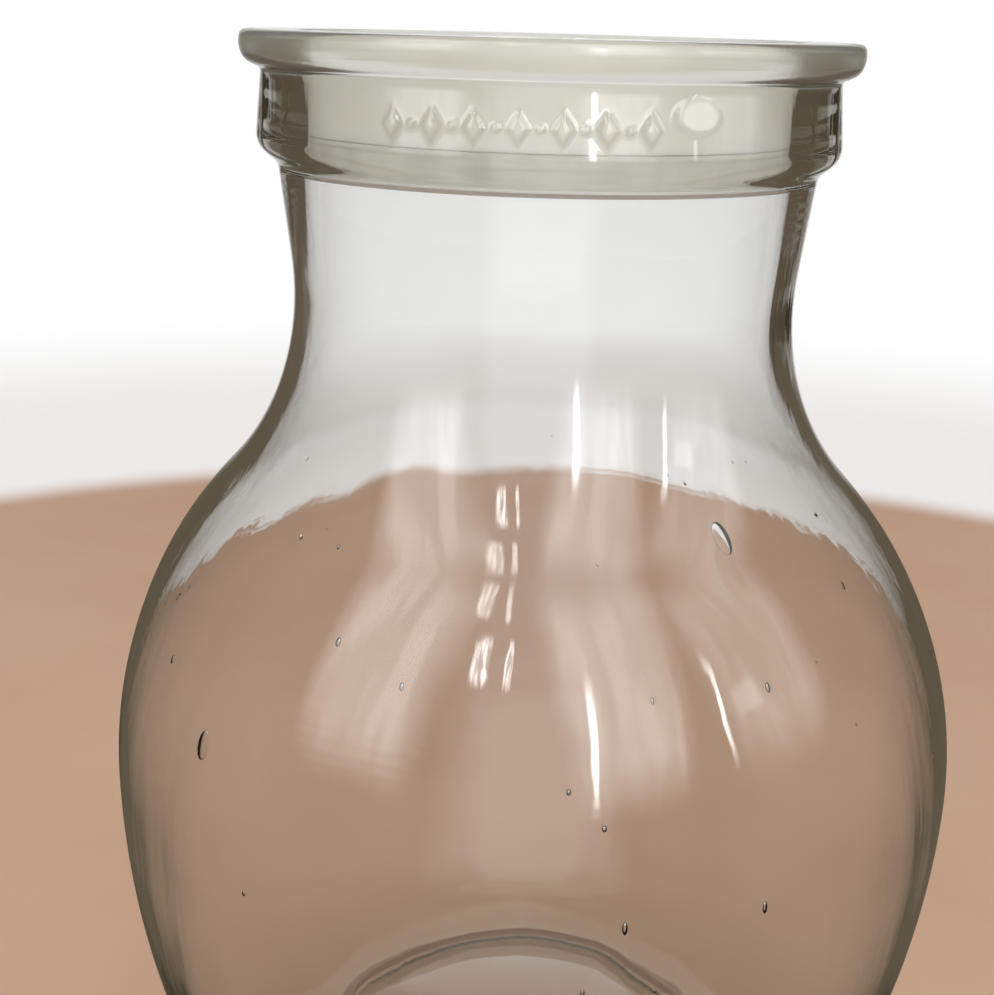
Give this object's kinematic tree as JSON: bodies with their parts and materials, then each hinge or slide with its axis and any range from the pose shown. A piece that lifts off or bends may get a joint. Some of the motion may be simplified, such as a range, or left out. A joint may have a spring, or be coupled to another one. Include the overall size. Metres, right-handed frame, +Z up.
{
  "type": "demijohn",
  "caption": "Round-bellied clear glass demijohn with a wide collared mouth, closed by a recessed push-in plug with a grip bar and a rubber seal.",
  "frame": {"origin": "centre of the base, on the surface that the vessel stands on", "axes": "+Z up along the vessel's axis of revolution; +X along the stopper's grip bar; the picture looks along +Y"},
  "size_m": [0.318, 0.318, 0.425],
  "materials": {
    "clear_glass": "clear blown soda-lime glass with a faint grey-green cast, fire-polished",
    "natural_polyethylene": "milky natural polyethylene, satin moulded",
    "seal_rubber": "grey-white food rubber, matt"
  },
  "bodies": {
    "vessel": {"vessel": "clear_glass"},
    "stopper": {"stopper": "natural_polyethylene", "seal_ring": "seal_rubber"}
  },
  "joints": [
    {"name": "stopper_lift", "type": "slide", "parent": "vessel", "child": "stopper", "axis": [0, 0, 1], "range_m": [0, 0.12]}
  ]
}
